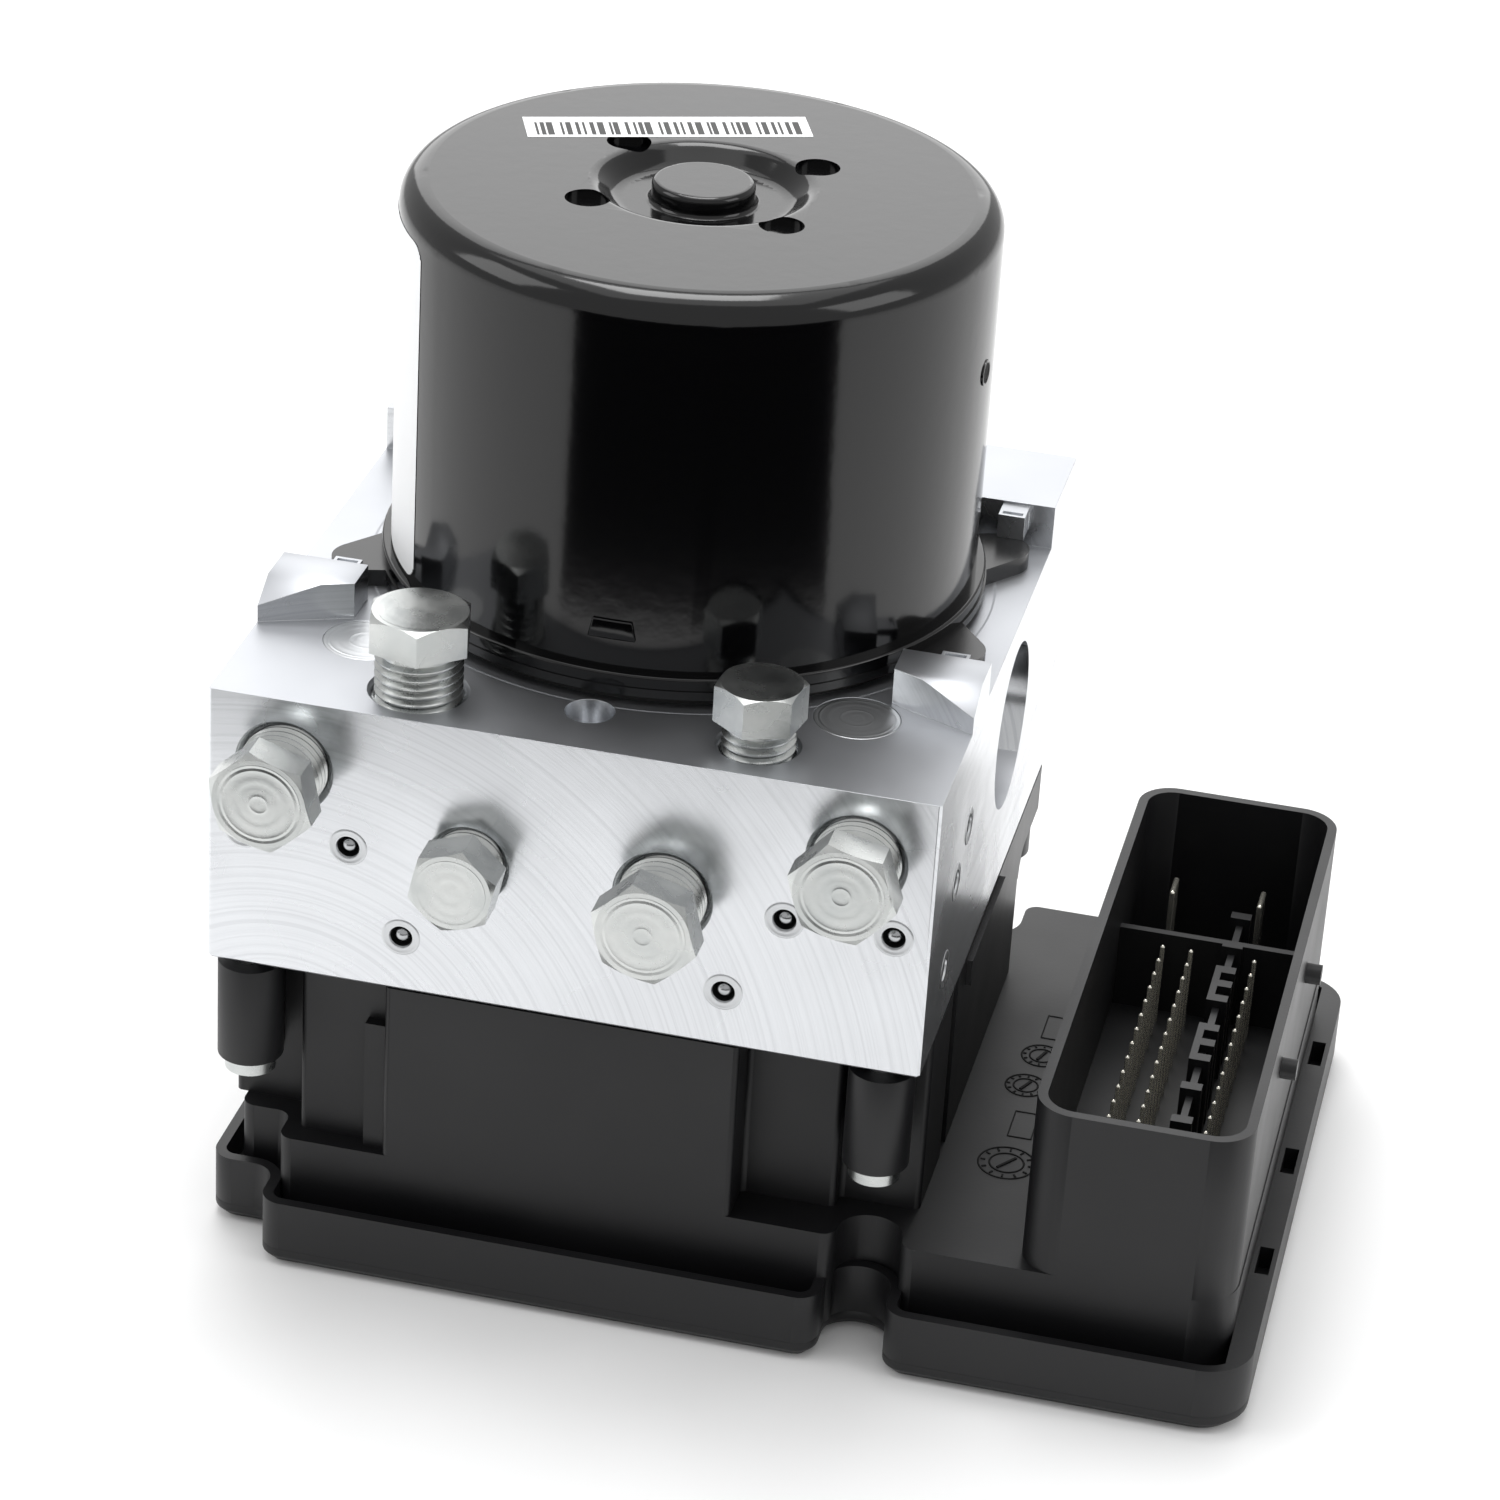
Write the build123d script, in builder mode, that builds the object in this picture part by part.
from build123d import *
import os

# Brake modulator: a milled aluminium valve block with the pump motor on top
# and the control unit screwed on underneath. Millimetres, +Z up. The origin is
# where the motor's axis meets the surface that the unit stands on.

# Valve block, a milled billet
block_width = 100.0
block_depth = 98.6
block_height = 41.8
motor_from_left = 51.2
motor_from_front = 56.7
edge_break = 0.4

# Raised ears in front of the motor's front lugs. Their front faces run askew and
# their outer corners are bevelled
ear_outer_front = 20.6
ear_inner_front = 26.0
ear_back = 32.2
ear_width = 12.2
ear_rise = 5.3
ear_bevel_width = 8.0
ear_bevel_depth = 4.6
ear_bevel_drop = 2.8

# Raised bar along the back, which gives the accumulator bores their roof
bar_depth = 18.1
bar_rise = 6.5

# Stakes: metal of the ears and the bar, driven over the motor's lugs to hold it
stake_spread = 43.2
stake_width = 3.9
stake_overlap = 1.2
front_stake_rise = 3.5
rear_stake_rise = 6.1
stake_groove_width = 2.9
stake_groove_length = 0.9
stake_groove_depth = 0.4
stake_groove_inset = 0.5

# Brake line ports, with the transport plugs that close them
port_depth = 14.0
top_port_depth = 12.0
m12_radius = 6.0
m12_mouth_radius = 6.9
m12_hex = 13.0
m12_head_height = 5.0
m12_thread_length = 13.5
m10_radius = 5.0
m10_mouth_radius = 5.8
m10_hex = 11.0
m10_head_height = 5.6
m10_thread_length = 11.5
thread_clearance = 0.05
head_chamfer = 0.7
low_port_height = 21.3
high_port_height = 31.6
outer_port_inset = 10.7
inner_port_inset = 36.5
top_port_inset = 26.6
top_port_from_front = 8.8

# Tapped hole for the mounting bracket
bracket_hole_radius = 3.4
bracket_hole_depth = 14.0
bracket_hole_inset = 49.9
bracket_hole_from_front = 10.45

# Pressed discs that close the two damping chambers
disc_radius = 5.95
disc_thickness = 3.0
disc_inset = 15.7
disc_from_front = 20.3
damper_radius = 4.5
damper_depth = 11.0
press_clearance = 0.02

# Drilled galleries, each closed by a ball pressed into its mouth
gallery_radius = 1.5
gallery_depth = 10.0
side_gallery_depth = 8.5
ball_radius = 2.0
ball_seat_depth = 4.0
low_gallery_height = 8.4
middle_gallery_height = 21.0
side_low_gallery_height = 9.5
side_high_gallery_height = 25.9
outer_gallery_inset = 5.0
middle_gallery_inset = 19.8
inner_gallery_inset = 27.5
side_gallery_from_front = (13.5, 17.5, 24.6)

# Pump: two pistons face each other across the motor's eccentric
pump_depth = 16.8
pump_mouth_radius = 12.1
pump_cap_recess = 9.0
pump_cap_thickness = 5.0
pump_sleeve_radius = 7.0
pump_piston_radius = 4.0
pump_piston_length = 13.0
pump_spring_radius = 2.6
pump_spring_wire = 0.8
pump_spring_turns = 5
chamber_radius = 12.0
chamber_floor_gap = 9.5
piston_clearance = 0.03

# Accumulators, bored in from the back of the block
accumulator_inset = 26.0
accumulator_height = 20.5
accumulator_radius = 11.5
accumulator_depth = 26.0
accumulator_cap_radius = 13.0
accumulator_cap_thickness = 3.0
accumulator_piston_length = 10.0
accumulator_cup_radius = 7.5
accumulator_cup_depth = 6.0
accumulator_spring_radius = 5.5
accumulator_spring_wire = 1.3
accumulator_spring_turns = 5
accumulator_vent_radius = 1.0

# Solenoid valves: cartridges in the block, plungers inside, coils around the domes
valve_columns = 4
valve_margin = 18.5
valve_pitch_y = 20.0
valve_row_from_front = 23.3
valve_flange_radius = 5.0
valve_flange_height = 4.0
valve_body_radius = 4.0
valve_body_height = 9.0
valve_dome_radius = 3.2
valve_dome_height = 20.0
plunger_radius = 2.4
plunger_wall = 0.75
plunger_length = 14.0
plunger_stroke = 0.4
plunger_clearance = 0.05
coil_width = 16.5
coil_height = 24.0
coil_corner = 2.5
coil_clearance = 0.12
coil_leg_width = 0.8
coil_leg_spread = 5.0

# Motor leads pass down through the block inside a moulded sleeve
lead_from_axis = 23.4
lead_sleeve_radius = 4.0
lead_pin_radius = 0.9
lead_pin_spread = 1.9
lead_pin_overhang = 3.0

# Motor
motor_height = 58.3
can_radius = 41.27
can_wall = 2.2
can_corner = 4.0
can_foot_radius = 42.6
can_foot_thickness = 1.8
flange_radius = 42.8
flange_thickness = 1.2
motor_seal_thickness = 1.3
motor_seal_width = 3.0
motor_seal_inset = 1.6
recess_radius = 14.8
recess_floor_radius = 12.2
recess_depth = 2.6
recess_round = 2.4
button_radius = 7.1
button_rise = 0.4
button_round = 0.8
button_wall = 1.3
dimple_radius = 3.1
dimple_depth = 1.3
dimple_spread_x = 13.4
dimple_spread_y = 11.1
lug_x = 42.2
lug_y = 16.6
lug_radius = 4.4
lug_root_x = 25.9
lug_root_y = 5.0
lug_root_radius = 10.6
lug_clearance = 0.5
hub_radius = 16.0
hub_depth = 8.3

# Rotor
shaft_radius = 4.0
shaft_tip_radius = 2.5
eccentricity = 1.0
eccentric_radius = 5.5
eccentric_height = 9.0
ring_radius = 9.0
core_air_gap = 0.8
core_slots = 12
core_slot_width = 4.0
core_slot_depth = 11.0
core_slot_mouth = 2.2
tooth_tip = 3.0
winding_rise = 4.0
winding_gap = 1.0
tail_gap = 4.6
magnet_thickness = 5.0
magnet_overhang = 2.0
magnet_angle = 62.0
magnet_clearance = 0.05
commutator_radius = 11.0
commutator_overlap = 2.0
bearing_radius = 8.0
bearing_height = 5.0
tail_bearing_height = 4.0
running_clearance = 0.03

# Brushes slide in box holders moulded on the brush plate
brush_width = 6.0
brush_height = 6.0
brush_length = 9.0
brush_clearance = 0.1
brush_level = 3.0
brush_holder_wall = 1.3
brush_holder_end = 29.5
brush_spring_radius = 1.9
brush_spring_wire = 0.6
brush_spring_turns = 4

# Control unit: cover, housing with its rim, deck, tower and plug shroud
cover_height = 2.9
cover_plate = 1.7
cover_fillet = 1.6
rim_height = 7.6
tray_height = 7.35
tower_height = 27.35
tower_seal_thickness = 1.3
tower_seal_width = 1.6
housing_wall = 2.4
deck_thickness = 2.5
rim_left_overhang = 1.4
rim_right_overhang = 48.6
rim_front_overhang = 3.6
rim_back_overhang = 6.4
rim_corner = 7.0
rim_lip = 1.5
groove_depth = 5.0
tray_left_inset = 2.0
tray_right_overhang = 45.2
tray_front_inset = 2.0
tray_back_overhang = 1.2
tray_corner = 6.0
notch_half_width = 4.6
rim_notch_inset = 6.6
rim_notch_shift = 0.7
rim_round = 3.2
tray_notch_inset = 8.6
tray_cut_step = 1.1
tray_round = 2.0
corner_cut_width = 8.5

# Tower of the control unit, which holds the coils
tower_side_inset = 0.3
pad_inset = 24.8
pad_front_inset = 2.0
pocket_inset = 11.8
left_pocket_inset = 5.5
right_pocket_inset = 9.0
shoulder_front_inset = 12.0
tower_back_from_front = 80.0
tower_corner = 0.8
pilaster_width = 3.2
pilaster_depth = 1.8
pilaster_height = 20.0
side_rib_front = 36.0
side_rib_back = 61.0
side_rib_height = 4.0
side_rib_depth = 0.8
side_rib_drop = 0.7
side_groove_front = 26.0
side_groove_width = 4.0
side_groove_depth = 1.0
rear_flange_from_front = 95.0
rear_flange_height = 7.4
overhang_curve = 4.0

# Screws that hold the control unit to the block, in bosses at its corners
unit_screw_left_inset = 4.95
unit_screw_right_inset = 5.75
unit_screw_inset_y = 4.0
boss_radius = 4.6
boss_height = 14.95
web_thickness = 4.8
unit_screw_radius = 2.0
unit_screw_length = 10.0
unit_screw_head_radius = 3.6
unit_screw_head_height = 2.3
unit_screw_socket_radius = 1.5
unit_screw_socket_depth = 1.4

# Plug shroud and its contacts
shroud_from_block = 15.1
shroud_right_inset = 0.2
shroud_front_inset = 2.0
shroud_back_inset = 1.0
shroud_height = 25.65
shroud_wall = 1.4
shroud_corner = 5.6
shroud_floor = 1.6
partition_from_front = 73.3
partition_height = 14.7
partition_thickness = 1.2
pin_rows_from_block = (23.4, 27.6, 37.0)
pin_count = 15
pin_pitch = 4.0
first_pin_from_front = 13.55
pin_width = 0.64
pin_height = 14.65
pin_tip = 0.5
blades_from_block = (22.3, 35.5)
blade_from_front = 87.9
blade_width = 4.8
blade_thickness = 0.8
comb_from_block = 33.3
comb_front = 22.6
comb_back = 82.4
comb_thickness = 1.0
comb_bar_width = 3.0
comb_bar_length = 1.8
comb_bars_from_front = (23.5, 32.4, 40.4, 44.6, 48.8, 57.2, 61.4, 65.4, 72.9, 81.6)
comb_spines_from_front = ((39.6, 49.6), (56.4, 66.2))
comb_height = 14.7
comb_web_drop = 1.2
peg_radius = 1.5
peg_length = 2.2
peg_drop = 9.0
pegs_from_front = (38.0, 65.0)
slot_width = 2.0
slot_length = 6.8
slot_depth = 3.5
slots_from_front = (25.4, 52.0, 82.7)

# Circuit board
board_thickness = 1.6
board_above_seam = 4.1
board_clearance = 1.0
board_post_radius = 2.5
board_post_inset = 7.0
chip_size = 14.0
chip_height = 2.0
capacitor_radius = 4.0
capacitor_height = 5.0

# Levels, from the surface up
seam_level = cover_height
rim_level = seam_level + rim_height
deck_level = rim_level + tray_height
tower_level = deck_level + tower_height
block_base = tower_level + tower_seal_thickness
block_top = block_base + block_height
shroud_top = deck_level + shroud_height
board_level = seam_level + board_above_seam
board_top = board_level + board_thickness
cavity_roof = deck_level - deck_thickness
pump_level = block_top - pump_depth
can_level = block_top + motor_seal_thickness + flange_thickness
can_top = block_top + motor_height
button_top = can_top + button_rise

# Plan, from the motor's axis
block_left = -motor_from_left
block_right = block_left + block_width
block_front = -motor_from_front
block_back = block_front + block_depth
block_middle_x = (block_left + block_right) / 2
block_middle_y = (block_front + block_back) / 2
rim_left = block_left - rim_left_overhang
rim_right = block_right + rim_right_overhang
rim_front = block_front - rim_front_overhang
rim_back = block_back + rim_back_overhang
tray_left = block_left + tray_left_inset
tray_right = block_right + tray_right_overhang
tray_front = block_front + tray_front_inset
tray_back = block_back + tray_back_overhang
screw_left = block_left + unit_screw_left_inset
screw_right = block_right - unit_screw_right_inset
screw_front = block_front + unit_screw_inset_y
screw_back = block_back - unit_screw_inset_y
tower_back = block_front + tower_back_from_front

# Faces of the block, each with its origin at the lower or front left corner
front_face = Plane(origin=(block_left, block_front, block_base), x_dir=(1, 0, 0), z_dir=(0, -1, 0))
back_face = Plane(origin=(block_right, block_back, block_base), x_dir=(-1, 0, 0), z_dir=(0, 1, 0))
right_face = Plane(origin=(block_right, block_front, block_base), x_dir=(0, 1, 0), z_dir=(1, 0, 0))
left_face = Plane(origin=(block_left, block_front, block_base), x_dir=(0, -1, 0), z_dir=(-1, 0, 0))
top_face = Plane(origin=(block_left, block_front, block_top), x_dir=(1, 0, 0), z_dir=(0, 0, 1))
under_face = Plane(origin=(0, 0, block_base), x_dir=(1, 0, 0), z_dir=(0, 0, -1))

pieces = []


def keep(builder, name):
    """Label a finished piece and put it with the others."""
    builder.part.label = name
    pieces.append(builder.part)


def pump_plane(side):
    """Plane across the pump's axis, at the motor's axis, facing outwards."""
    return Plane(origin=(0, 0, pump_level), x_dir=(0, side, 0), z_dir=(side, 0, 0))


# Places of the ports, plugs and galleries on their faces. A port's row ends with
# its plug's stand-off and turn
m12_seats = [
    (front_face, (outer_port_inset, high_port_height), 5.8, 42),
    (front_face, (block_width - inner_port_inset, low_port_height), 5.7, 44),
    (front_face, (block_width - outer_port_inset, high_port_height), 4.7, 48),
    (top_face, (top_port_inset, top_port_from_front), 7.0, 43),
]
m10_seats = [
    (front_face, (inner_port_inset, low_port_height), 2.3, 18),
    (top_face, (block_width - top_port_inset, top_port_from_front), 3.7, 21),
]
front_galleries = [
    (outer_gallery_inset, middle_gallery_height),
    (middle_gallery_inset, middle_gallery_height),
    (inner_gallery_inset, low_gallery_height),
    (block_width - inner_gallery_inset, low_gallery_height),
    (block_width - middle_gallery_inset, middle_gallery_height),
    (block_width - outer_gallery_inset, middle_gallery_height),
]
side_gallery_heights = (side_low_gallery_height, middle_gallery_height, side_high_gallery_height)
side_galleries = list(zip(side_gallery_from_front, side_gallery_heights))
quarters = [(side, end) for side in (-1, 1) for end in (-1, 1)]
unit_screws = [(x, y) for x in (screw_left, screw_right) for y in (screw_front, screw_back)]
accumulator_x = [accumulator_inset - block_width / 2, block_width / 2 - accumulator_inset]
valve_rows = [block_front + valve_row_from_front + row * valve_pitch_y for row in (0, 1)]
valve_pitch_x = (block_width - 2 * valve_margin) / (valve_columns - 1)
valve_x = [(column - (valve_columns - 1) / 2) * valve_pitch_x for column in range(valve_columns)]
valve_places = [(x, y) for y in valve_rows for x in valve_x]
valve_depth = valve_flange_height + valve_body_height
coil_legs = [(x + side * coil_leg_spread, y) for x, y in valve_places for side in (-1, 1)]
pump_reach = {-1: motor_from_left, 1: block_right}
pump_cap_inner = {side: pump_reach[side] - pump_cap_recess - pump_cap_thickness for side in (-1, 1)}

# Ears and stakes, cut round for the motor. A tilted plane mills each ear's corner
with BuildPart() as ear_pair:
    for side, edge in ((-1, block_left), (1, block_right)):
        inner = edge - side * ear_width
        with BuildSketch(Plane.XY.offset(block_top)):
            with BuildLine():
                Polyline(
                    (edge, block_front + ear_outer_front),
                    (inner, block_front + ear_inner_front),
                    (inner, block_front + ear_back),
                    (edge, block_front + ear_back),
                    close=True,
                )
            make_face()
            Circle(flange_radius + lug_clearance, mode=Mode.SUBTRACT)
        extrude(amount=ear_rise)
        slant = (ear_inner_front - ear_outer_front) / ear_width
        ear_top = block_top + ear_rise
        crease_y = block_front + ear_outer_front + ear_bevel_depth
        inner_end = Vector(edge - side * ear_bevel_width, crease_y - ear_bevel_depth + slant * ear_bevel_width, ear_top)
        outer_end = Vector(edge, crease_y, ear_top)
        low_end = Vector(edge, block_front + ear_outer_front, ear_top - ear_bevel_drop)
        normal = (low_end - inner_end).cross(outer_end - inner_end) * side
        with BuildSketch(Plane(origin=inner_end, z_dir=normal)):
            Rectangle(3 * ear_width, 3 * ear_width)
        extrude(amount=ear_rise, mode=Mode.SUBTRACT)
ears = ear_pair.part

# Valve block
with BuildPart() as valve_block:
    with BuildSketch(Plane.XY.offset(block_base)):
        with Locations((block_middle_x, block_middle_y)):
            Rectangle(block_width, block_depth)
    extrude(amount=block_height)
    # Bar along the back, cut away for the motor
    with BuildSketch(Plane.XY.offset(block_top)):
        with Locations((block_middle_x, block_back - bar_depth / 2)):
            Rectangle(block_width, bar_depth)
        Circle(flange_radius + lug_clearance, mode=Mode.SUBTRACT)
    extrude(amount=bar_rise)
    upright = valve_block.edges().filter_by(Axis.Z)
    corners = upright.filter_by(lambda e: abs(e.center().Y - block_middle_y) > block_depth / 2 - edge_break)
    chamfer(corners, edge_break)
    chamfer(valve_block.faces().sort_by(Axis.Z)[0].edges(), edge_break)
    add(ears)
    # Stakes over the motor's lugs, each with the groove of its punch
    for side, end in quarters:
        root = block_back - bar_depth if end > 0 else block_front + ear_back
        tip = end * (lug_y + lug_radius - stake_overlap)
        rise = rear_stake_rise if end > 0 else front_stake_rise
        with BuildSketch(Plane.XY.offset(can_level)):
            with Locations((side * stake_spread, (root + tip) / 2)):
                Rectangle(stake_width, abs(root - tip))
        extrude(amount=block_top + rise - can_level)
        with BuildSketch(Plane.XY.offset(block_top + rise)):
            with Locations((side * stake_spread, tip + end * (stake_groove_inset + stake_groove_length / 2))):
                Rectangle(stake_groove_width, stake_groove_length)
        extrude(amount=-stake_groove_depth, mode=Mode.SUBTRACT)
    # Brake line ports
    for face, place, _, _ in m12_seats:
        depth = top_port_depth if face is top_face else port_depth
        with Locations(face):
            with Locations(place):
                CounterSinkHole(m12_radius + thread_clearance, m12_mouth_radius, depth, 90)
    for face, place, _, _ in m10_seats:
        depth = top_port_depth if face is top_face else port_depth
        with Locations(face):
            with Locations(place):
                CounterSinkHole(m10_radius + thread_clearance, m10_mouth_radius, depth, 90)
    # Bracket hole and damping chambers, from the top
    with Locations(top_face):
        with Locations((bracket_hole_inset, bracket_hole_from_front)):
            Hole(bracket_hole_radius, bracket_hole_depth)
        with Locations((disc_inset, disc_from_front), (block_width - disc_inset, disc_from_front)):
            CounterBoreHole(damper_radius, disc_radius, disc_thickness, damper_depth)
    # Galleries
    with Locations(front_face):
        with Locations(*front_galleries):
            CounterBoreHole(gallery_radius, ball_radius, ball_seat_depth, gallery_depth)
    with Locations(right_face):
        with Locations(*side_galleries):
            CounterBoreHole(gallery_radius, ball_radius, ball_seat_depth, side_gallery_depth)
    with Locations(left_face):
        with Locations(*[(-along, height) for along, height in side_galleries]):
            CounterBoreHole(gallery_radius, ball_radius, ball_seat_depth, side_gallery_depth)
    # Chamber for the eccentric, and the pump bores that meet it
    with Locations(Plane.XY.offset(block_top)):
        CounterBoreHole(chamber_radius, hub_radius, hub_depth, pump_depth + chamber_floor_gap)
    for side in (-1, 1):
        with Locations(pump_plane(side).offset(pump_reach[side])):
            Hole(pump_mouth_radius, pump_cap_recess + pump_cap_thickness)
            Hole(pump_sleeve_radius, pump_reach[side])
    # Accumulator bores, from the back
    with Locations(back_face):
        with Locations(*[(block_right - x, accumulator_height) for x in accumulator_x]):
            CounterBoreHole(
                accumulator_radius, accumulator_cap_radius, accumulator_cap_thickness, accumulator_depth
            )
    # Valve bores and unit screw holes, from underneath
    with Locations(under_face):
        with Locations(*[(x, -y) for x, y in valve_places]):
            CounterBoreHole(valve_body_radius, valve_flange_radius, valve_flange_height, valve_depth)
        with Locations(*[(x, -y) for x, y in unit_screws]):
            Hole(unit_screw_radius + press_clearance, unit_screw_length + 1)
    # Lead channel, from the top
    with Locations(Plane.XY.offset(block_top)):
        with Locations((0, -lead_from_axis)):
            Hole(lead_sleeve_radius + press_clearance, block_height)
keep(valve_block, "valve_block")


def transport_plug(radius, hex_size, head_height, thread_length):
    """A hexagon plug standing on z = 0 by its head, with its thread below."""
    with BuildPart() as plug:
        with BuildSketch():
            RegularPolygon(hex_size / 2, 6, major_radius=False)
        extrude(amount=head_height)
        with BuildSketch(Plane.XZ):
            with BuildLine():
                Polyline(
                    (0, 0),
                    (hex_size, 0),
                    (hex_size, head_height - head_chamfer - (hex_size / 2) * 0.5),
                    (hex_size / 2, head_height),
                    (0, head_height),
                    close=True,
                )
            make_face()
        revolve(axis=Axis.Z, mode=Mode.INTERSECT)
        with BuildSketch():
            Circle(radius)
        extrude(amount=-thread_length)
        chamfer(plug.faces().sort_by(Axis.Z)[0].edges(), head_chamfer)
    return plug.part


m12_plug = transport_plug(m12_radius, m12_hex, m12_head_height, m12_thread_length)
m10_plug = transport_plug(m10_radius, m10_hex, m10_head_height, m10_thread_length)

with BuildPart() as m12_port_plugs:
    for face, place, standoff, turn in m12_seats:
        with Locations(face.offset(standoff)):
            with Locations(Location((*place, 0), (0, 0, turn))):
                add(m12_plug)
keep(m12_port_plugs, "m12_port_plugs")

with BuildPart() as m10_port_plugs:
    for face, place, standoff, turn in m10_seats:
        with Locations(face.offset(standoff)):
            with Locations(Location((*place, 0), (0, 0, turn))):
                add(m10_plug)
keep(m10_port_plugs, "m10_port_plugs")

with BuildPart() as closing_discs:
    with Locations(top_face):
        with Locations((disc_inset, disc_from_front), (block_width - disc_inset, disc_from_front)):
            Cylinder(disc_radius - press_clearance, disc_thickness, align=(Align.CENTER, Align.CENTER, Align.MAX))
keep(closing_discs, "closing_discs")

with BuildPart() as ball_plugs:
    for face, places in (
        (front_face, front_galleries),
        (right_face, side_galleries),
        (left_face, [(-along, height) for along, height in side_galleries]),
    ):
        with Locations(face):
            with Locations(*places):
                Cylinder(ball_radius - press_clearance, ball_seat_depth, align=(Align.CENTER, Align.CENTER, Align.MAX))
keep(ball_plugs, "ball_plugs")


def coil_spring(plane, radius, wire, turns, length):
    """A round-wire compression spring from z = 0 to its length on a plane."""
    with BuildPart() as spring:
        with BuildLine() as path:
            Helix(pitch=(length - wire) / turns, height=length - wire, radius=radius)
        with BuildSketch(Plane(origin=path.line @ 0, z_dir=path.line % 0)):
            RegularPolygon(wire / 2, 6)
        sweep(path=path.line, is_frenet=True)
    with BuildPart() as placed:
        with Locations(plane.offset(wire / 2)):
            add(spring.part)
    return placed


# Pump, one piston to each side of the eccentric
for side, word in ((-1, "left"), (1, "right")):
    outwards = pump_plane(side)
    piston_tip = ring_radius + eccentricity + piston_clearance
    with BuildPart() as pump_cylinder:
        with BuildSketch(outwards.offset(chamber_radius + lug_clearance)):
            Circle(pump_sleeve_radius - press_clearance)
            Circle(pump_piston_radius + piston_clearance, mode=Mode.SUBTRACT)
        extrude(amount=pump_cap_inner[side] - chamber_radius - lug_clearance)
    keep(pump_cylinder, f"pump_cylinder_{word}")

    with BuildPart() as pump_cap:
        with BuildSketch(outwards.offset(pump_cap_inner[side])):
            Circle(pump_mouth_radius - press_clearance)
        extrude(amount=pump_cap_thickness)
        with BuildSketch(outwards.offset(pump_cap_inner[side] + pump_cap_thickness)):
            Circle(pump_sleeve_radius)
        extrude(amount=-pump_cap_thickness / 3, mode=Mode.SUBTRACT)
    keep(pump_cap, f"pump_cap_{word}")

    with BuildPart() as pump_piston:
        with BuildSketch(outwards.offset(piston_tip)):
            Circle(pump_piston_radius)
        extrude(amount=pump_piston_length)
        chamfer(pump_piston.edges().filter_by(GeomType.CIRCLE), edge_break)
    keep(pump_piston, f"pump_piston_{word}")

    spring_foot = piston_tip + pump_piston_length
    pump_spring = coil_spring(
        outwards.offset(spring_foot),
        pump_spring_radius,
        pump_spring_wire,
        pump_spring_turns,
        pump_cap_inner[side] - spring_foot,
    )
    keep(pump_spring, f"pump_spring_{word}")

# Accumulators
for x, word in zip(accumulator_x, ("left", "right")):
    bore_end = Plane(
        origin=(x, block_back - accumulator_depth, block_base + accumulator_height),
        x_dir=(-1, 0, 0),
        z_dir=(0, 1, 0),
    )
    with BuildPart() as accumulator_piston:
        with BuildSketch(bore_end.offset(piston_clearance)):
            Circle(accumulator_radius - piston_clearance)
        extrude(amount=accumulator_piston_length)
        with BuildSketch(bore_end.offset(piston_clearance + accumulator_piston_length)):
            Circle(accumulator_cup_radius)
        extrude(amount=-accumulator_cup_depth, mode=Mode.SUBTRACT)
    keep(accumulator_piston, f"accumulator_piston_{word}")

    with BuildPart() as accumulator_cap:
        with BuildSketch(bore_end.offset(accumulator_depth)):
            Circle(accumulator_cap_radius - press_clearance)
            Circle(accumulator_vent_radius, mode=Mode.SUBTRACT)
        extrude(amount=-accumulator_cap_thickness)
        chamfer(accumulator_cap.faces().sort_by(Axis.Y)[-1].edges(), edge_break)
    keep(accumulator_cap, f"accumulator_cap_{word}")

    cup_floor = piston_clearance + accumulator_piston_length - accumulator_cup_depth
    accumulator_spring = coil_spring(
        bore_end.offset(cup_floor),
        accumulator_spring_radius,
        accumulator_spring_wire,
        accumulator_spring_turns,
        accumulator_depth - accumulator_cap_thickness - cup_floor,
    )
    keep(accumulator_spring, f"accumulator_spring_{word}")

# Valve cartridges, one revolved body each, with the plunger's bore inside the dome
plunger_bore_length = plunger_length + plunger_stroke + 2 * plunger_clearance
dome_tip = block_base - valve_dome_height
plunger_floor = dome_tip + plunger_wall
with BuildPart() as valve_bodies:
    with Locations(*valve_places):
        with Locations((0, 0, block_base)):
            Cylinder(
                valve_flange_radius - press_clearance,
                valve_flange_height,
                align=(Align.CENTER, Align.CENTER, Align.MIN),
            )
            Cylinder(
                valve_dome_radius,
                valve_dome_height,
                align=(Align.CENTER, Align.CENTER, Align.MAX),
            )
        with Locations((0, 0, block_base + valve_flange_height)):
            Cylinder(
                valve_body_radius - press_clearance,
                valve_body_height,
                align=(Align.CENTER, Align.CENTER, Align.MIN),
            )
        with Locations((0, 0, plunger_floor)):
            Cylinder(
                plunger_radius + plunger_clearance,
                plunger_bore_length,
                align=(Align.CENTER, Align.CENTER, Align.MIN),
                mode=Mode.SUBTRACT,
            )
keep(valve_bodies, "valve_bodies")

# The front row's plungers rest open, away from the seat; the back row's rest on it
for number, (x, y) in enumerate(valve_places):
    resting_open = number < valve_columns
    foot = plunger_floor + plunger_clearance + (0 if resting_open else plunger_stroke)
    with BuildPart() as plunger:
        with Locations((x, y, foot)):
            Cylinder(plunger_radius, plunger_length, align=(Align.CENTER, Align.CENTER, Align.MIN))
    kind = "inlet" if resting_open else "outlet"
    keep(plunger, f"{kind}_plunger_{number % valve_columns + 1}")

with BuildPart() as valve_coils:
    with BuildSketch(Plane.XY.offset(deck_level)):
        with Locations(*valve_places):
            RectangleRounded(coil_width, coil_width, coil_corner)
            Circle(valve_dome_radius + coil_clearance, mode=Mode.SUBTRACT)
    extrude(amount=coil_height)
    with BuildSketch(Plane.XY.offset(deck_level)):
        with Locations(*coil_legs):
            Rectangle(coil_leg_width, coil_leg_width)
    extrude(amount=board_top - deck_level)
keep(valve_coils, "valve_coils")


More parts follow.
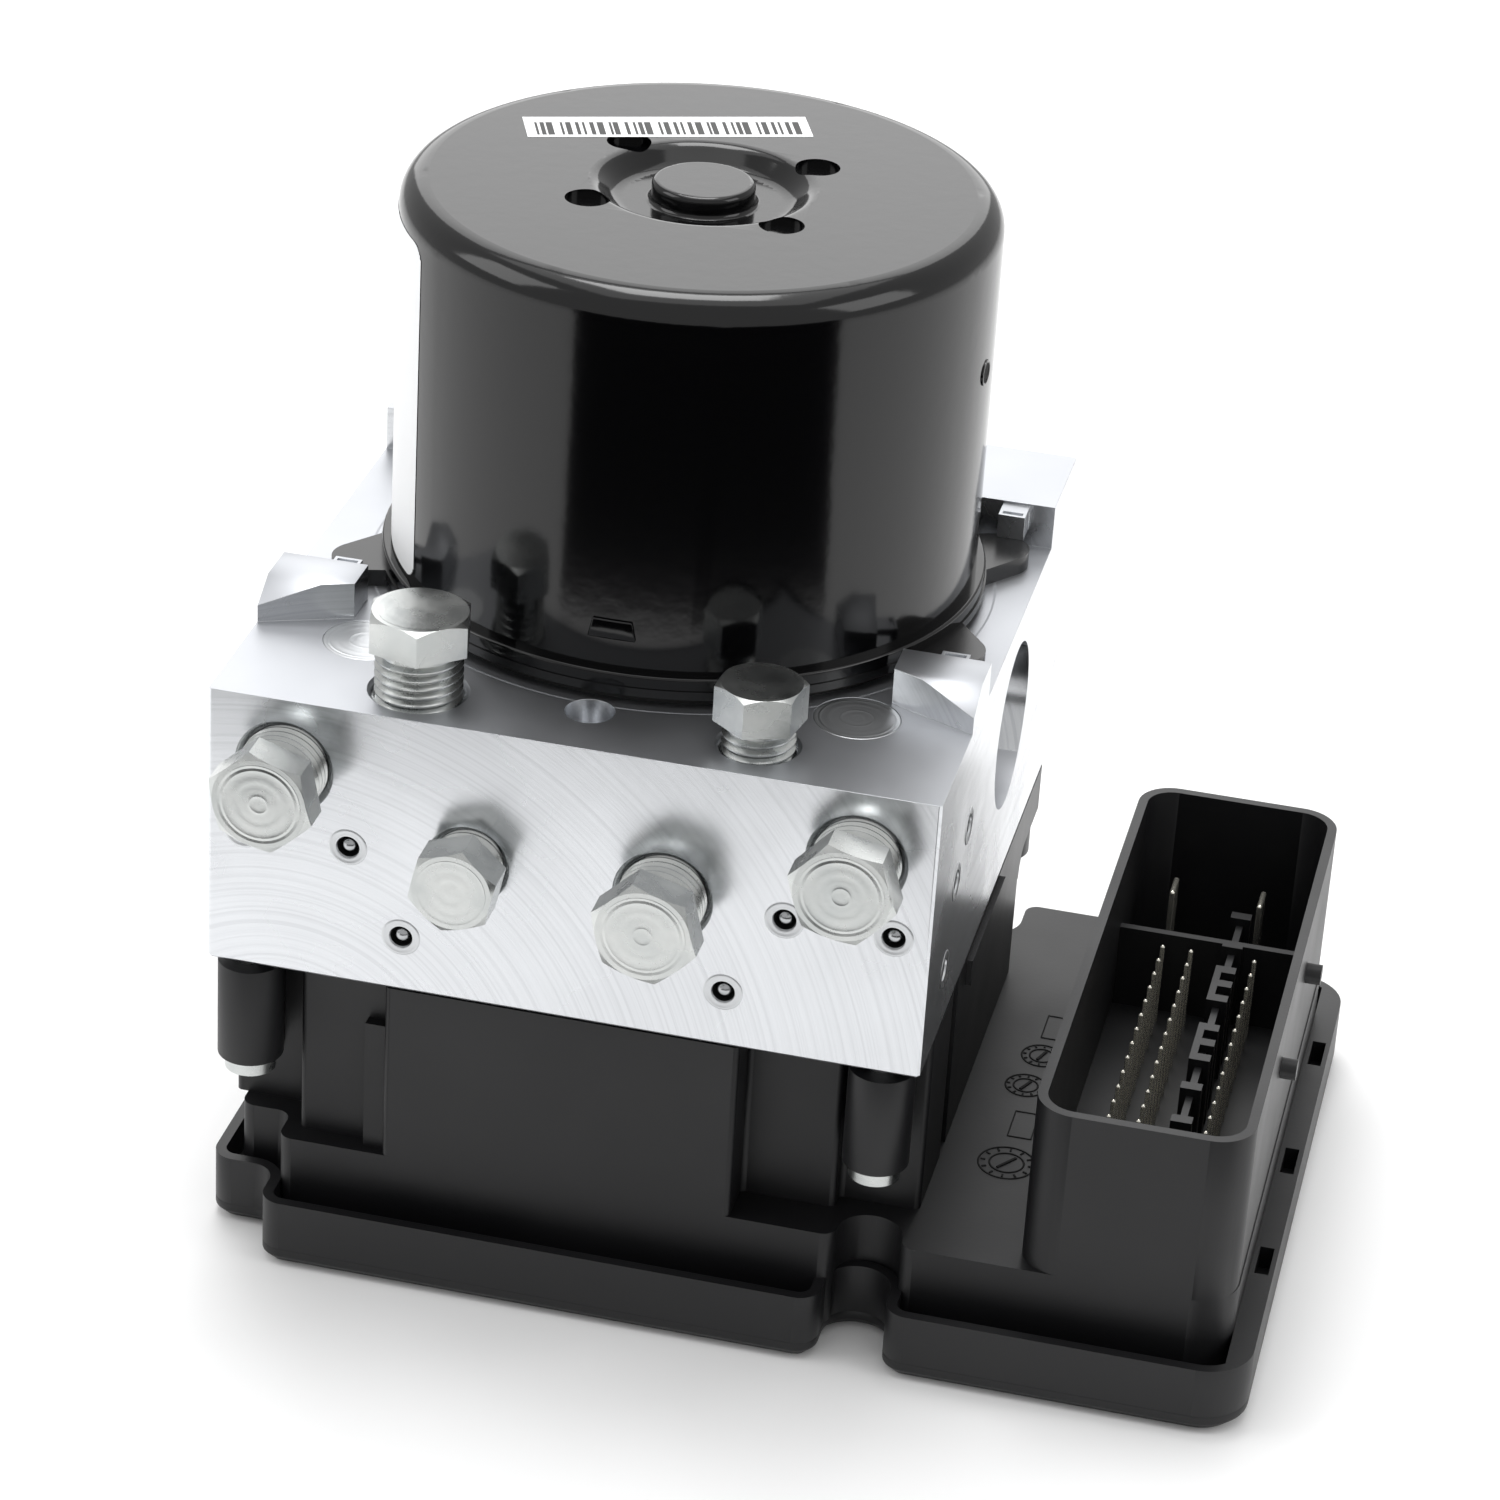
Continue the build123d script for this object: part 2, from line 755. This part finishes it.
# Brush plate: the moulded flange under the motor's can, with its hub and brush boxes
hub_bottom = block_top - hub_depth
seal_outer = flange_radius - motor_seal_inset
brush_base = can_level + brush_level
holder_top = brush_base + brush_height + brush_clearance + brush_holder_wall
with BuildPart() as brush_plate:
    with BuildSketch(Plane.XY.offset(block_top)):
        Circle(flange_radius)
        for side, end in quarters:
            make_hull(
                ShapeList(
                    [
                        Edge.make_circle(lug_radius, Plane((side * lug_x, end * lug_y, 0))),
                        Edge.make_circle(lug_root_radius, Plane((side * lug_root_x, end * lug_root_y, 0))),
                    ]
                )
            )
    extrude(amount=can_level - block_top)
    # Groove under its rim, open outwards except at the lugs, for the seal
    with BuildSketch(Plane.XY.offset(block_top)):
        Circle(flange_radius)
        Circle(seal_outer - motor_seal_width - lug_clearance, mode=Mode.SUBTRACT)
    extrude(amount=motor_seal_thickness, mode=Mode.SUBTRACT)
    # Hub that centres the motor in the block and carries the front bearing
    with BuildSketch(Plane.XY.offset(hub_bottom)):
        Circle(hub_radius - press_clearance)
    extrude(amount=can_level - hub_bottom)
    # Brush boxes stand on short pillars
    for side in (-1, 1):
        with BuildSketch(Plane.XY.offset(can_level)):
            with Locations((side * brush_holder_end, 0)):
                Rectangle(
                    brush_holder_end - commutator_radius - brush_holder_wall,
                    brush_width + 2 * (brush_clearance + brush_holder_wall),
                    align=(Align.MAX if side > 0 else Align.MIN, Align.CENTER),
                )
        extrude(amount=holder_top - can_level)
        with BuildSketch(Plane.XY.offset(brush_base - brush_clearance)):
            with Locations((side * (brush_holder_end - brush_holder_wall), 0)):
                Rectangle(
                    brush_holder_end,
                    brush_width + 2 * brush_clearance,
                    align=(Align.MAX if side > 0 else Align.MIN, Align.CENTER),
                )
        extrude(amount=brush_height + 2 * brush_clearance, mode=Mode.SUBTRACT)
    # Bearing seat, open to the chamber, and the shaft's way through
    with Locations(Plane.XY.offset(hub_bottom)):
        with BuildSketch(Plane.XY.offset(hub_bottom)):
            Circle(bearing_radius)
        extrude(amount=bearing_height, mode=Mode.SUBTRACT)
    with BuildSketch(Plane.XY.offset(hub_bottom)):
        Circle(shaft_radius + 1)
    extrude(amount=can_level + brush_level - hub_bottom, mode=Mode.SUBTRACT)
    # Lead sleeve, down through the block to the control unit
    with BuildSketch(Plane.XY.offset(block_top)):
        with Locations((0, -lead_from_axis)):
            Circle(lead_sleeve_radius)
    extrude(amount=-block_height)
    with BuildSketch(Plane.XY.offset(can_level)):
        with Locations((-lead_pin_spread, -lead_from_axis), (lead_pin_spread, -lead_from_axis)):
            Circle(lead_pin_radius)
    extrude(amount=block_base - can_level, mode=Mode.SUBTRACT)
keep(brush_plate, "brush_plate")

with BuildPart() as motor_leads:
    with BuildSketch(Plane.XY.offset(can_level + lead_pin_overhang)):
        with Locations((-lead_pin_spread, -lead_from_axis), (lead_pin_spread, -lead_from_axis)):
            Circle(lead_pin_radius)
    extrude(amount=board_top - can_level - lead_pin_overhang)
keep(motor_leads, "motor_leads")

# Drawn steel can
can_inner = can_radius - can_wall
with BuildPart() as motor_can:
    with BuildSketch(Plane.XZ):
        with BuildLine():
            FilletPolyline(
                (0, can_level),
                (can_foot_radius, can_level),
                (can_foot_radius, can_level + can_foot_thickness),
                (can_radius, can_level + can_foot_thickness),
                (can_radius, can_top),
                (recess_radius, can_top),
                (recess_floor_radius, can_top - recess_depth),
                (button_radius, can_top - recess_depth),
                (button_radius, button_top),
                (0, button_top),
                radius=[0, 0, edge_break, 0, can_corner, recess_round, recess_round, button_round, button_round, 0],
                close=True,
            )
        make_face()
    revolve(axis=Axis.Z)
    # Inside of the drawing, with the bearing seat under the button
    with BuildSketch(Plane.XZ):
        with BuildLine():
            Polyline(
                (0, can_level),
                (can_inner, can_level),
                (can_inner, can_top - can_wall - can_corner / 2),
                (can_inner - can_corner / 2, can_top - can_wall),
                (recess_radius + can_wall, can_top - can_wall),
                (recess_floor_radius + can_wall / 2, can_top - recess_depth - can_wall),
                (button_radius - button_wall, can_top - recess_depth - can_wall),
                (button_radius - button_wall, button_top - button_wall),
                (0, button_top - button_wall),
                close=True,
            )
        make_face()
    revolve(axis=Axis.Z, mode=Mode.SUBTRACT)
    with Locations(Plane.XY.offset(can_top)):
        with GridLocations(2 * dimple_spread_x, 2 * dimple_spread_y, 2, 2):
            Hole(dimple_radius, dimple_depth)
keep(motor_can, "motor_can")

with BuildPart() as motor_seal:
    with BuildSketch(Plane.XY.offset(block_top)):
        Circle(seal_outer)
        Circle(seal_outer - motor_seal_width, mode=Mode.SUBTRACT)
    extrude(amount=motor_seal_thickness)
keep(motor_seal, "motor_seal")

# Magnets, glued inside the can
core_base = holder_top + winding_gap + winding_rise
core_top = can_top - recess_depth - can_wall - tail_gap - winding_rise
core_length = core_top - core_base
magnet_length = core_length + 2 * magnet_overhang
magnet_outer = can_inner - magnet_clearance
core_radius = magnet_outer - magnet_thickness - core_air_gap
magnet_base = core_base - magnet_overhang
with BuildPart() as motor_magnets:
    with BuildSketch(Plane.XZ):
        with Locations((magnet_outer - magnet_thickness / 2, magnet_base)):
            Rectangle(magnet_thickness, magnet_length, align=(Align.CENTER, Align.MIN))
    revolve(axis=Axis.Z, revolution_arc=magnet_angle)
magnet = motor_magnets.part
with BuildPart() as motor_magnets:
    with PolarLocations(0, 4):
        add(magnet)
keep(motor_magnets, "motor_magnets")

# Rotor: shaft, laminated core, winding, commutator and the eccentric with its ring
tail_seat_top = button_top - button_wall
eccentric_base = pump_level - eccentric_height / 2
with BuildPart() as rotor_shaft:
    with BuildSketch(Plane.XY.offset(eccentric_base + eccentric_height)):
        Circle(shaft_radius)
    extrude(amount=core_top + winding_rise - eccentric_base - eccentric_height)
    with BuildSketch(Plane.XY.offset(core_top + winding_rise)):
        Circle(shaft_tip_radius)
    extrude(amount=tail_seat_top - core_top - winding_rise - 1)
    with BuildSketch(Plane.XY.offset(eccentric_base)):
        with Locations((0, eccentricity)):
            Circle(eccentric_radius)
    extrude(amount=eccentric_height)
keep(rotor_shaft, "rotor_shaft")

with BuildPart() as eccentric_ring:
    with BuildSketch(Plane.XY.offset(eccentric_base)):
        with Locations((0, eccentricity)):
            Circle(ring_radius)
            Circle(eccentric_radius + press_clearance, mode=Mode.SUBTRACT)
    extrude(amount=eccentric_height)
keep(eccentric_ring, "eccentric_ring")

slot_floor = core_radius - tooth_tip - core_slot_depth
with BuildPart() as rotor_core:
    with BuildSketch(Plane.XY.offset(core_base)):
        Circle(core_radius)
        Circle(shaft_radius, mode=Mode.SUBTRACT)
        with PolarLocations(slot_floor, core_slots):
            Rectangle(
                core_slot_depth, core_slot_width, align=(Align.MIN, Align.CENTER), mode=Mode.SUBTRACT
            )
            Rectangle(
                core_radius, core_slot_mouth, align=(Align.MIN, Align.CENTER), mode=Mode.SUBTRACT
            )
    extrude(amount=core_length)
keep(rotor_core, "rotor_core")

with BuildPart() as rotor_winding:
    with BuildSketch(Plane.XY.offset(core_base)):
        with PolarLocations(slot_floor, core_slots):
            Rectangle(core_slot_depth, core_slot_width, align=(Align.MIN, Align.CENTER))
    extrude(amount=core_length)
    for level in (core_base - winding_rise, core_top):
        with BuildSketch(Plane.XY.offset(level)):
            Circle(slot_floor + core_slot_depth)
            Circle(shaft_radius + can_wall, mode=Mode.SUBTRACT)
        extrude(amount=winding_rise)
keep(rotor_winding, "rotor_winding")

commutator_base = brush_base - commutator_overlap
with BuildPart() as commutator:
    with BuildSketch(Plane.XY.offset(commutator_base)):
        Circle(commutator_radius)
        Circle(shaft_radius, mode=Mode.SUBTRACT)
    extrude(amount=core_base - winding_rise - commutator_base)
keep(commutator, "commutator")

with BuildPart() as front_bearing:
    with BuildSketch(Plane.XY.offset(hub_bottom)):
        Circle(bearing_radius - press_clearance)
        Circle(shaft_radius + running_clearance, mode=Mode.SUBTRACT)
    extrude(amount=bearing_height)
keep(front_bearing, "front_bearing")

with BuildPart() as rear_bearing:
    with BuildSketch(Plane.XY.offset(tail_seat_top)):
        Circle(button_radius - button_wall - press_clearance)
        Circle(shaft_tip_radius + running_clearance, mode=Mode.SUBTRACT)
    extrude(amount=-tail_bearing_height)
keep(rear_bearing, "rear_bearing")

# Brushes with their springs
for side, word in ((-1, "left"), (1, "right")):
    outwards = Plane(origin=(0, 0, brush_base + brush_height / 2), x_dir=(0, side, 0), z_dir=(side, 0, 0))
    brush_foot = commutator_radius + brush_clearance
    with BuildPart() as brush:
        with BuildSketch(outwards.offset(brush_foot)):
            Rectangle(brush_width, brush_height)
        extrude(amount=brush_length)
    keep(brush, f"brush_{word}")
    brush_back = brush_foot + brush_length
    brush_spring = coil_spring(
        outwards.offset(brush_back),
        brush_spring_radius,
        brush_spring_wire,
        brush_spring_turns,
        brush_holder_end - brush_holder_wall - brush_back,
    )
    keep(brush_spring, f"brush_spring_{word}")

# Outlines seen from above, as corners with their radii. The notches give a
# screwdriver its way to the right-hand screws, each nearly a full round.
notch_round = 0.99 * notch_half_width
rim_cut = block_left + corner_cut_width
rim_cut_inset = rim_notch_inset - rim_lip
rim_notch_left = screw_right - rim_notch_shift - notch_half_width
rim_notch_right = screw_right - rim_notch_shift + notch_half_width
rim_points = [
    ((rim_left, block_front + rim_cut_inset), rim_round),
    ((rim_cut, block_front + rim_cut_inset), rim_round),
    ((rim_cut, rim_front), rim_round),
    ((rim_notch_left, rim_front), rim_round),
    ((rim_notch_left, block_front + rim_notch_inset), notch_round),
    ((rim_notch_right, block_front + rim_notch_inset), notch_round),
    ((rim_notch_right, rim_front), rim_round),
    ((rim_right, rim_front), rim_corner),
    ((rim_right, rim_back), rim_corner),
    ((rim_notch_right, rim_back), rim_round),
    ((rim_notch_right, block_back - rim_notch_inset), notch_round),
    ((rim_notch_left, block_back - rim_notch_inset), notch_round),
    ((rim_notch_left, rim_back), rim_round),
    ((rim_cut, rim_back), rim_round),
    ((rim_cut, block_back - rim_cut_inset), rim_round),
    ((rim_left, block_back - rim_cut_inset), rim_round),
]
tray_cut = rim_cut + tray_cut_step
tray_notch_left = screw_right - notch_half_width
tray_notch_right = screw_right + notch_half_width
tray_points = [
    ((tray_left, block_front + tray_notch_inset), tray_round),
    ((tray_cut, block_front + tray_notch_inset), tray_round),
    ((tray_cut, tray_front), tray_round),
    ((tray_notch_left, tray_front), tray_round),
    ((tray_notch_left, block_front + tray_notch_inset), notch_round),
    ((tray_notch_right, block_front + tray_notch_inset), notch_round),
    ((tray_notch_right, tray_front), tray_round),
    ((tray_right, tray_front), tray_corner),
    ((tray_right, tray_back), tray_corner),
    ((tray_notch_right, tray_back), tray_round),
    ((tray_notch_right, block_back - tray_notch_inset), notch_round),
    ((tray_notch_left, block_back - tray_notch_inset), notch_round),
    ((tray_notch_left, tray_back), tray_round),
    ((tray_cut, tray_back), tray_round),
    ((tray_cut, block_back - tray_notch_inset), tray_round),
    ((tray_left, block_back - tray_notch_inset), tray_round),
]
tower_left = block_left + tower_side_inset
tower_right = block_right - tower_side_inset
rear_flange_back = block_front + rear_flange_from_front
rear_flange_base = tower_level - rear_flange_height
shoulder_front = block_front + shoulder_front_inset
boss_bottom = tower_level - boss_height
tower_points = [
    ((block_left + pocket_inset, block_front + left_pocket_inset), tower_corner),
    ((block_left + pad_inset, block_front + left_pocket_inset), tower_corner),
    ((block_left + pad_inset, block_front + pad_front_inset), tower_corner),
    ((block_right - pad_inset - 0.4, block_front + pad_front_inset), tower_corner),
    ((block_right - pad_inset - 0.4, block_front + right_pocket_inset), tower_corner),
    ((block_right - pocket_inset, block_front + right_pocket_inset), tower_corner),
    ((block_right - pocket_inset, shoulder_front), tower_corner),
    ((tower_right, shoulder_front), tower_corner),
    ((tower_right, tower_back), tower_corner),
    ((tower_left, tower_back), tower_corner),
    ((tower_left, shoulder_front), tower_corner),
    ((block_left + pocket_inset, shoulder_front), tower_corner),
]


def outline(points, inset=0.0):
    """Face of a closed outline whose corners each have their own radius."""
    with BuildSketch() as shape:
        with BuildLine():
            FilletPolyline(*[p for p, _ in points], radius=[r for _, r in points], close=True)
        make_face()
        if inset > 0:
            offset(amount=-inset, kind=Kind.INTERSECTION)
    return shape.sketch


def bracket(left, right, wall, end, base):
    """A solid that juts out of a wall of the tower, with a hollow curve under it."""
    inside = wall + (housing_wall if wall > end else -housing_wall)
    with BuildPart() as solid:
        with BuildSketch(Plane(origin=(left, 0, 0), x_dir=(0, 1, 0), z_dir=(1, 0, 0))):
            with BuildLine():
                FilletPolyline(
                    (inside, tower_level),
                    (inside, base - overhang_curve),
                    (wall, base - overhang_curve),
                    (wall, base),
                    (end, base),
                    (end, tower_level),
                    radius=[0, 0, 0, 0.99 * overhang_curve, 0, 0],
                    close=True,
                )
            make_face()
        extrude(amount=right - left)
    return solid.part


shroud_left = block_right + shroud_from_block
shroud_right = tray_right - shroud_right_inset
shroud_front = block_front + shroud_front_inset
shroud_back = block_back - shroud_back_inset
shroud_width = shroud_right - shroud_left
shroud_depth = shroud_back - shroud_front
shroud_middle = ((shroud_left + shroud_right) / 2, (shroud_front + shroud_back) / 2)
shroud_floor_level = deck_level + shroud_floor
pin_places = [
    (block_right + row, block_front + first_pin_from_front + number * pin_pitch)
    for row in pin_rows_from_block
    for number in range(pin_count)
]
blade_places = [(block_right + x, block_front + blade_from_front) for x in blades_from_block]
comb_x = block_right + comb_from_block
comb_length = comb_back - comb_front
post_places = [
    (x, y)
    for x in (block_left + pocket_inset + board_post_inset, block_right + board_post_inset)
    for y in (shoulder_front + board_post_inset, tower_back)
]

with BuildPart() as ecu_housing:
    with BuildSketch(Plane.XY.offset(seam_level)):
        add(outline(rim_points))
    extrude(amount=rim_height)
    with BuildSketch(Plane.XY.offset(rim_level - groove_depth)):
        add(outline(rim_points, rim_lip))
        with Locations((tray_right, 0)):
            Rectangle(rim_corner * 3, 2 * block_depth, align=(Align.MIN, Align.CENTER), mode=Mode.SUBTRACT)
    extrude(amount=groove_depth, mode=Mode.SUBTRACT)
    with BuildSketch(Plane.XY.offset(seam_level)):
        add(outline(tray_points))
    extrude(amount=deck_level - seam_level)
    # Tower for the coils, with pilaster, side rib and screw bosses
    with BuildSketch(Plane.XY.offset(deck_level)):
        add(outline(tower_points))
    extrude(amount=tower_height)
    with BuildSketch(Plane.XY.offset(deck_level)):
        with Locations((block_left + pad_inset, block_front + left_pocket_inset)):
            Rectangle(pilaster_width, pilaster_depth, align=(Align.MAX, Align.MAX))
    extrude(amount=pilaster_height)
    add(bracket(tower_left, tower_right, tower_back, rear_flange_back, rear_flange_base))
    for x in (screw_left, screw_right):
        web_sides = (x - web_thickness / 2, x + web_thickness / 2)
        add(bracket(*web_sides, shoulder_front, screw_front, boss_bottom))
    with BuildSketch(Plane.XY.offset(tower_level - side_rib_drop)):
        with Locations((tower_right, block_front + side_rib_front)):
            Rectangle(side_rib_depth, side_rib_back - side_rib_front, align=(Align.MIN, Align.MIN))
    extrude(amount=-side_rib_height)
    with BuildSketch(Plane.XY.offset(tower_level)):
        with Locations((tower_right, block_front + side_groove_front)):
            Rectangle(side_groove_depth, side_groove_width, align=(Align.MAX, Align.MIN))
    extrude(amount=-tower_height, mode=Mode.SUBTRACT)
    with BuildSketch(Plane.XY.offset(boss_bottom)):
        with Locations(*unit_screws):
            Circle(boss_radius)
    extrude(amount=boss_height)
    # Shroud round the plug's contacts, standing flush on the deck's edge
    with BuildSketch(Plane.XY.offset(deck_level)):
        with Locations(shroud_middle):
            RectangleRounded(shroud_width, shroud_depth, shroud_corner)
    extrude(amount=shroud_height)
    with BuildSketch(Plane.XY.offset(shroud_floor_level)):
        with Locations(shroud_middle):
            RectangleRounded(
                shroud_width - 2 * shroud_wall, shroud_depth - 2 * shroud_wall, shroud_corner - shroud_wall
            )
    extrude(amount=shroud_height, mode=Mode.SUBTRACT)
    with BuildSketch(Plane.XY.offset(shroud_floor_level)):
        with Locations((shroud_middle[0], block_front + partition_from_front)):
            Rectangle(shroud_width - shroud_wall, partition_thickness)
    extrude(amount=partition_height - shroud_floor)
    # Keying comb along the middle of the plug: a web with bars and two spines
    with BuildSketch(Plane.XY.offset(shroud_floor_level)):
        with Locations((comb_x, block_front + comb_front)):
            Rectangle(comb_thickness, comb_length, align=(Align.CENTER, Align.MIN))
    extrude(amount=comb_height - shroud_floor - comb_web_drop)
    with BuildSketch(Plane.XY.offset(shroud_floor_level)):
        with Locations(*[(comb_x, block_front + y) for y in comb_bars_from_front]):
            Rectangle(comb_bar_width, comb_bar_length)
        for start, finish in comb_spines_from_front:
            with Locations((comb_x - comb_bar_width / 2, block_front + start)):
                Rectangle(comb_thickness, finish - start, align=(Align.MIN, Align.MIN))
    extrude(amount=comb_height - shroud_floor)
    # Two pegs on the shroud's outer wall
    with BuildSketch(Plane(origin=(shroud_right, 0, 0), x_dir=(0, 1, 0), z_dir=(1, 0, 0))):
        with Locations(*[(block_front + y, shroud_top - peg_drop) for y in pegs_from_front]):
            Circle(peg_radius)
    extrude(amount=peg_length)
    # Room for the circuit board, open downwards
    with BuildSketch(Plane.XY.offset(seam_level)):
        add(outline(tray_points, housing_wall))
    extrude(amount=cavity_roof - seam_level, mode=Mode.SUBTRACT)
    with BuildSketch(Plane.XY.offset(board_top)):
        with Locations(*post_places):
            Circle(board_post_radius)
    extrude(amount=cavity_roof - board_top)
    # Room for the coils, open upwards
    with BuildSketch(Plane.XY.offset(deck_level)):
        add(outline(tower_points, housing_wall))
    extrude(amount=tower_height, mode=Mode.SUBTRACT)
    # Screw holes, contact holes, the leads' way in and the catch slots
    with BuildSketch(Plane.XY.offset(tower_level)):
        with Locations(*unit_screws):
            Circle(unit_screw_radius + coil_clearance)
    extrude(amount=-boss_height, mode=Mode.SUBTRACT)
    with BuildSketch(Plane.XY.offset(cavity_roof)):
        with Locations(*pin_places):
            Rectangle(pin_width, pin_width)
        with Locations(*blade_places):
            Rectangle(blade_thickness, blade_width)
        with Locations((0, -lead_from_axis)):
            Rectangle(4 * lead_pin_spread, 4 * lead_pin_radius)
        with Locations(*coil_legs):
            Rectangle(coil_leg_width, coil_leg_width)
    extrude(amount=shroud_floor_level - cavity_roof, mode=Mode.SUBTRACT)
    with BuildSketch(Plane.XY.offset(rim_level)):
        with Locations(*[((tray_right + rim_right) / 2, block_front + y) for y in slots_from_front]):
            Rectangle(slot_width, slot_length)
    extrude(amount=-slot_depth, mode=Mode.SUBTRACT)
keep(ecu_housing, "ecu_housing")

with BuildPart() as ecu_cover:
    with BuildSketch():
        add(outline(rim_points))
    extrude(amount=cover_height)
    chamfer(ecu_cover.faces().sort_by(Axis.Z)[0].edges(), cover_fillet)
    with BuildSketch(Plane.XY.offset(cover_plate)):
        add(outline(tray_points, housing_wall))
    extrude(amount=cover_height - cover_plate, mode=Mode.SUBTRACT)
keep(ecu_cover, "ecu_cover")

with BuildPart() as tower_seal:
    with BuildSketch(Plane.XY.offset(tower_level)):
        add(outline(tower_points, (housing_wall - tower_seal_width) / 2))
        add(outline(tower_points, (housing_wall + tower_seal_width) / 2), mode=Mode.SUBTRACT)
    extrude(amount=tower_seal_thickness)
keep(tower_seal, "tower_seal")

with BuildPart() as circuit_board:
    with BuildSketch(Plane.XY.offset(board_level)):
        add(outline(tray_points, housing_wall + board_clearance))
    extrude(amount=board_thickness)
    with BuildSketch(Plane.XY.offset(board_level)):
        with Locations((block_middle_x, 0), (block_middle_x + 2 * chip_size, 0)):
            Rectangle(chip_size, chip_size)
    extrude(amount=-chip_height)
    with BuildSketch(Plane.XY.offset(board_top)):
        with Locations(*[(block_right + 2 * board_post_inset / 3, y) for y in (-chip_size, 0, chip_size)]):
            Circle(capacitor_radius)
    extrude(amount=capacitor_height)
keep(circuit_board, "circuit_board")

with BuildPart() as connector_pins:
    with BuildSketch(Plane.XY.offset(board_top)):
        with Locations(*pin_places):
            Rectangle(pin_width, pin_width)
    extrude(amount=deck_level + pin_height - board_top)
    chamfer(connector_pins.faces().group_by(Axis.Z)[-1].edges(), pin_tip / 2)
keep(connector_pins, "connector_pins")

with BuildPart() as power_blades:
    with BuildSketch(Plane.XY.offset(board_top)):
        with Locations(*blade_places):
            Rectangle(blade_thickness, blade_width)
    extrude(amount=deck_level + pin_height - board_top)
    chamfer(power_blades.faces().group_by(Axis.Z)[-1].edges(), pin_tip / 2)
keep(power_blades, "power_blades")

with BuildPart() as unit_screw_set:
    with BuildSketch(Plane.XY.offset(boss_bottom)):
        with Locations(*unit_screws):
            Circle(unit_screw_head_radius)
    extrude(amount=-unit_screw_head_height)
    with BuildSketch(Plane.XY.offset(boss_bottom)):
        with Locations(*unit_screws):
            Circle(unit_screw_radius)
    extrude(amount=block_base + unit_screw_length - boss_bottom)
    with BuildSketch(Plane.XY.offset(boss_bottom - unit_screw_head_height)):
        with Locations(*unit_screws):
            RegularPolygon(unit_screw_socket_radius, 6)
    extrude(amount=unit_screw_socket_depth, mode=Mode.SUBTRACT)
keep(unit_screw_set, "unit_screws")

os.makedirs("parts", exist_ok=True)
for piece in pieces:
    export_step(piece, f"parts/{piece.label}.step")
